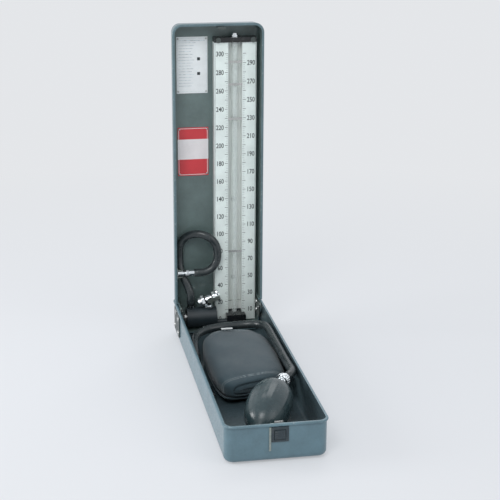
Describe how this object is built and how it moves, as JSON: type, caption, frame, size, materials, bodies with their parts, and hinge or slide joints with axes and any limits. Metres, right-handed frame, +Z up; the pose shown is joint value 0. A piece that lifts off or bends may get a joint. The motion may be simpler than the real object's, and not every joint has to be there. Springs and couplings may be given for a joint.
{
  "type": "mercury sphygmomanometer",
  "caption": "Desk blood pressure gauge: hinged sheet-metal case with a mercury tube and printed scale in the lid, and a rolled cuff, hoses and squeeze bulb in the tray.",
  "frame": {"origin": "on the table, under the middle of the tray, between its four rubber feet", "axes": "+Z up, +X to the right and -Y towards the user, whose side of the tray has the latch; the lid is hinged at the +Y end and stands upright, open"},
  "size_m": [0.0986, 0.344, 0.3443],
  "materials": {
    "case_paint_outside": "blue-grey gloss paint",
    "case_paint_inside": "grey-green paint",
    "foot_rubber": "matt",
    "plated_steel": "zinc plated",
    "bright_steel": "bright",
    "latch_black": "semi-gloss black",
    "cuff_cloth": "close woven grey cloth",
    "tag_cloth": "white tape",
    "hose_rubber": "dark rubber, slightly shiny",
    "bulb_rubber": "dark green-grey rubber",
    "chrome_plate": "polished",
    "channel_aluminium": "satin",
    "scale_print": "white enamel with printed marks",
    "tube_glass": "clear",
    "block_black": "black",
    "gasket_rubber": "matt",
    "reservoir_paint": "dark painted iron",
    "mercury_metal": "liquid metal, modelled as a solid",
    "label_white": "printed plate",
    "label_red": "printed plate"
  },
  "bodies": {
    "tray": {"tray_shell": "case_paint_outside", "rubber_feet": "foot_rubber", "tray_hinge_plates": "plated_steel", "tray_hinge_rivets": "bright_steel", "hinge_pins": "bright_steel", "latch_plate": "latch_black", "latch_guide": "bright_steel", "latch_housing": "plated_steel", "latch_spring": "bright_steel", "cuff_roll": "cuff_cloth", "cuff_tag": "tag_cloth", "bladder_boot": "hose_rubber", "bulb_hose": "hose_rubber", "gauge_hose": "hose_rubber", "gauge_hose_connector": "chrome_plate", "inflation_bulb": "bulb_rubber", "bulb_inlet_valve": "chrome_plate", "release_valve_body": "chrome_plate"},
    "lid": {"lid_shell": "case_paint_inside", "lid_hinge_plates": "plated_steel", "lid_hinge_rivets": "bright_steel", "lid_keeper": "bright_steel", "manometer_channel": "channel_aluminium", "channel_rivets": "bright_steel", "scale_plate_left": "scale_print", "scale_plate_right": "scale_print", "glass_tube": "tube_glass", "tube_clips": "bright_steel", "top_bracket": "block_black", "top_gasket": "gasket_rubber", "top_screws": "chrome_plate", "tube_top_cap": "chrome_plate", "bottom_block": "block_black", "bottom_gasket": "gasket_rubber", "mercury_pipe": "reservoir_paint", "reservoir_body": "reservoir_paint", "reservoir_plug": "bright_steel", "mercury_charge": "mercury_metal", "air_nipple": "chrome_plate", "cock_body": "chrome_plate", "lid_hose": "hose_rubber", "lid_hose_connector": "chrome_plate", "connector_clip": "plated_steel", "instruction_plate": "label_white", "red_white_plate": "label_red"},
    "cock_lever": {"cock_lever": "plated_steel"},
    "release_wheel": {"release_wheel": "chrome_plate"},
    "latch_button": {"latch_button": "latch_black", "latch_hook": "bright_steel"}
  },
  "joints": [
    {"name": "lid_hinge", "type": "hinge", "parent": "tray", "child": "lid", "pos_m": [0, 0.14, 0.0323], "axis": [1, 0, 0], "range_deg": [0, 90]},
    {"name": "cock_lever_turn", "type": "hinge", "parent": "lid", "child": "cock_lever", "pos_m": [-0.01005, 0.1445, 0.04231], "axis": [0, -1, 0], "range_deg": [0, 90]},
    {"name": "release_wheel_turn", "type": "hinge", "parent": "tray", "child": "release_wheel", "pos_m": [0.02806, -0.06286, 0.03214], "axis": [0.7123, 0.6879, 0.1392], "range_deg": [0, 540]},
    {"name": "latch_button_press", "type": "slide", "parent": "tray", "child": "latch_button", "axis": [0, 1, 0], "range_m": [0, 0.0025], "stiffness_N_per_m": 600, "springref_m": -0.002}
  ]
}
